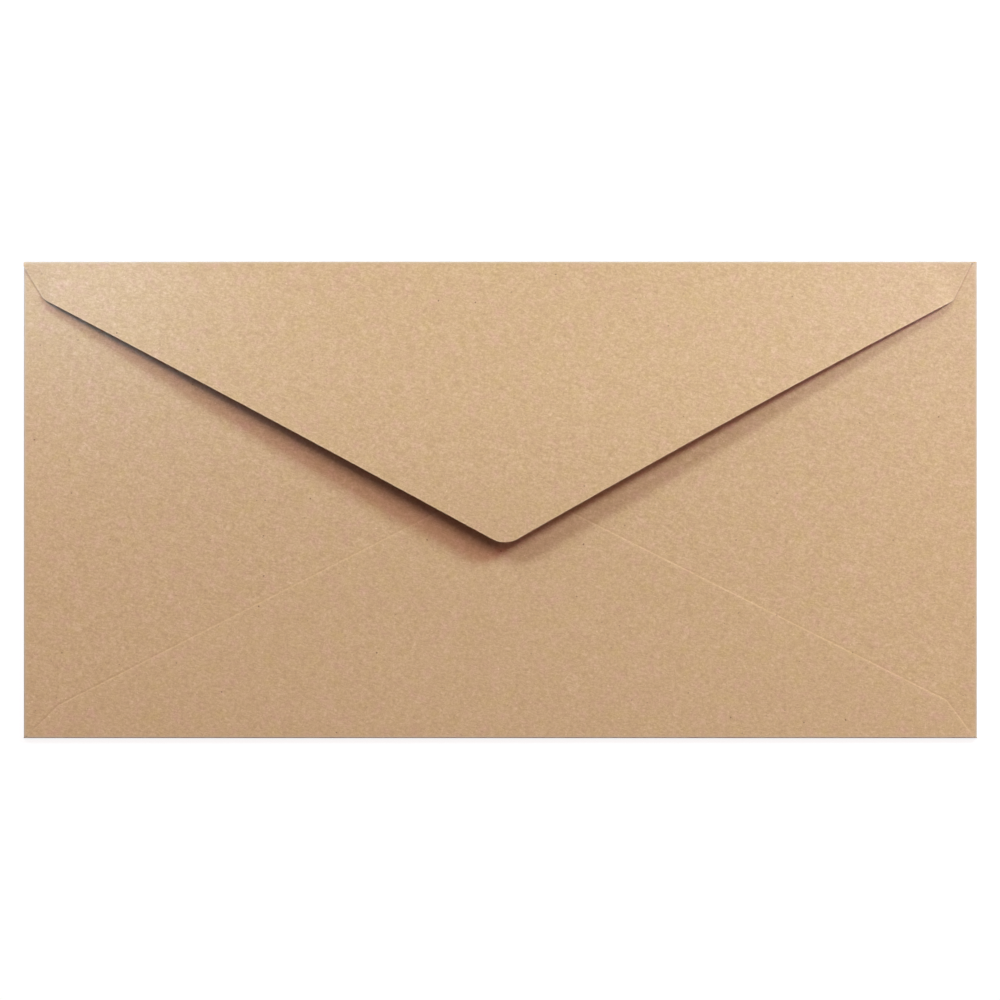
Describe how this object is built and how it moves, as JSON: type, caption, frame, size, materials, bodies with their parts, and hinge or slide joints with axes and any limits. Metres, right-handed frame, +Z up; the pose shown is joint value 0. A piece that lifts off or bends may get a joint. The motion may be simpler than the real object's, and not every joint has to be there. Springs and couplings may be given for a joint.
{
  "type": "paper envelope",
  "caption": "Closed kraft paper envelope for a letter folded in three: triangular top flap lying loosely over a triangular bottom flap glued to two side flaps",
  "frame": {"origin": "Middle of the envelope's underside, on the surface that it lies on", "axes": "+X along the envelope's long side, +Y towards the fold of the top flap, +Z up, out of the side with the flaps. The front panel lies face down on Z = 0."},
  "size_m": [0.22, 0.11, 0.005],
  "materials": {
    "kraft_paper": "matt brown kraft paper with fine fibres and small dark specks"
  },
  "bodies": {
    "root": {"envelope": "kraft_paper"}
  },
  "joints": []
}
